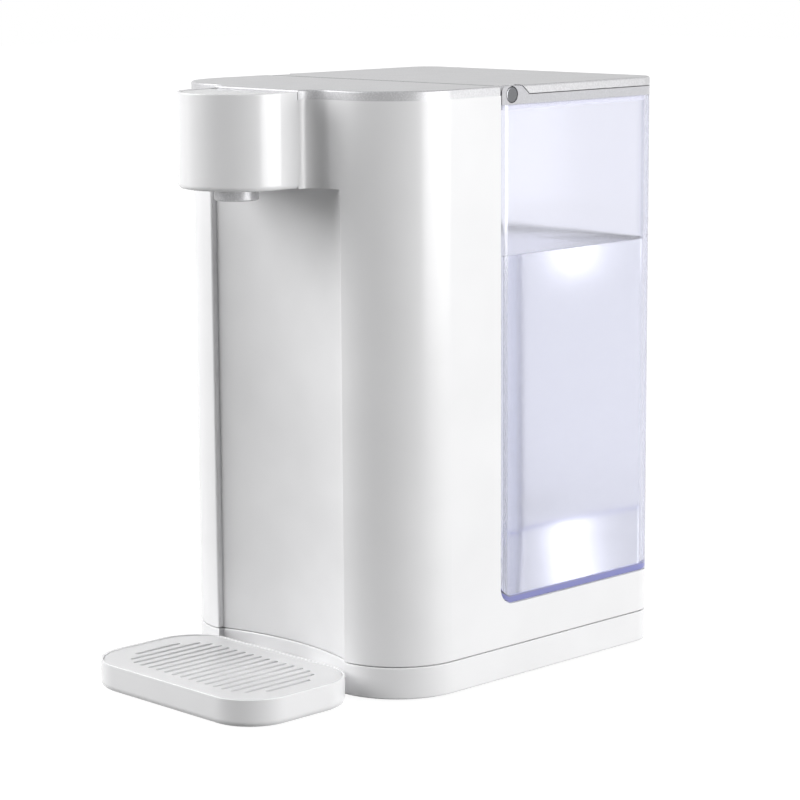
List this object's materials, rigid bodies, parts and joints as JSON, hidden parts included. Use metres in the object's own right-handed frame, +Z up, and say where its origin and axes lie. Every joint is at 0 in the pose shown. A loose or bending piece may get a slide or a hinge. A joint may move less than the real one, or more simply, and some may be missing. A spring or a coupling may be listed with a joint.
{
  "type": "hot water dispenser",
  "caption": "Countertop instant hot water dispenser: slim white body with a spout head, clear lift-off rear tank with hinged lid, pull-out drip tray.",
  "frame": {"origin": "on the table, in the middle of the whole outline", "axes": "+Z up, -Y towards the spout and drip tray, +X to the right of someone who faces the spout"},
  "size_m": [0.16, 0.2544, 0.2815],
  "materials": {
    "white_gloss": "high gloss moulded",
    "silver_satin": "satin silver grey",
    "grey_collar": "satin",
    "clear_tank": "clear, faint blue tint",
    "pale_panel": "gloss",
    "black_rubber": "matte",
    "clear_silicone": "satin",
    "bright_metal": "polished",
    "screw_steel": "zinc plated",
    "heater_steel": "drawn tube",
    "motor_can": "plated can",
    "inner_plastic": "as moulded",
    "pump_plastic": "as moulded",
    "board_green": "solder mask"
  },
  "bodies": {
    "housing": {"base_pan": "white_gloss", "rubber_feet": "black_rubber", "base_screws": "screw_steel", "cord_gland": "black_rubber", "body_shell": "white_gloss", "alcove_liner": "white_gloss", "head_base": "white_gloss", "nozzle_ring": "silver_satin", "spout_tip": "clear_silicone", "outlet_chamber": "inner_plastic", "touch_panel": "pale_panel", "control_board": "board_green", "top_plate": "silver_satin", "tank_bay": "white_gloss", "valve_socket": "inner_plastic", "socket_seal": "clear_silicone", "inlet_hose": "clear_silicone", "pump_cradle": "pump_plastic", "pump_head": "pump_plastic", "pump_motor": "motor_can", "feed_hose": "clear_silicone", "heater_tube": "heater_steel", "heater_caps": "inner_plastic", "heater_clamps": "screw_steel", "thermostats": "screw_steel", "outlet_hose": "clear_silicone", "power_board": "board_green", "board_parts": "pump_plastic"},
    "tank": {"tank_shell": "clear_tank", "tank_collar": "grey_collar", "hinge_pins": "bright_metal", "valve_body": "inner_plastic", "valve_spring": "bright_metal"},
    "valve_plunger": {"valve_plunger": "inner_plastic", "valve_washer": "clear_silicone"},
    "lid": {"tank_lid": "silver_satin", "lid_seal": "clear_silicone"},
    "tray": {"drip_tray": "white_gloss"},
    "grille": {"drip_grille": "white_gloss"}
  },
  "joints": [
    {"name": "tank_lift", "type": "slide", "parent": "housing", "child": "tank", "axis": [0, 0, 1], "range_m": [0, 0.255]},
    {"name": "valve_close", "type": "slide", "parent": "tank", "child": "valve_plunger", "axis": [0, 0, -1], "range_m": [0, 0.002], "deforming": ["valve_spring"]},
    {"name": "lid_hinge", "type": "hinge", "parent": "tank", "child": "lid", "pos_m": [0, 0.0223, 0.2773], "axis": [1, 0, 0], "range_deg": [0, 100]},
    {"name": "tray_pull", "type": "slide", "parent": "housing", "child": "tray", "axis": [0, -1, 0], "range_m": [0, 0.06]},
    {"name": "grille_lift", "type": "slide", "parent": "tray", "child": "grille", "axis": [0, 0, 1], "range_m": [0, 0.04]}
  ],
  "couplings": [
    {"joint": "valve_close", "follows": "tank_lift", "ratio": 0.0078}
  ]
}
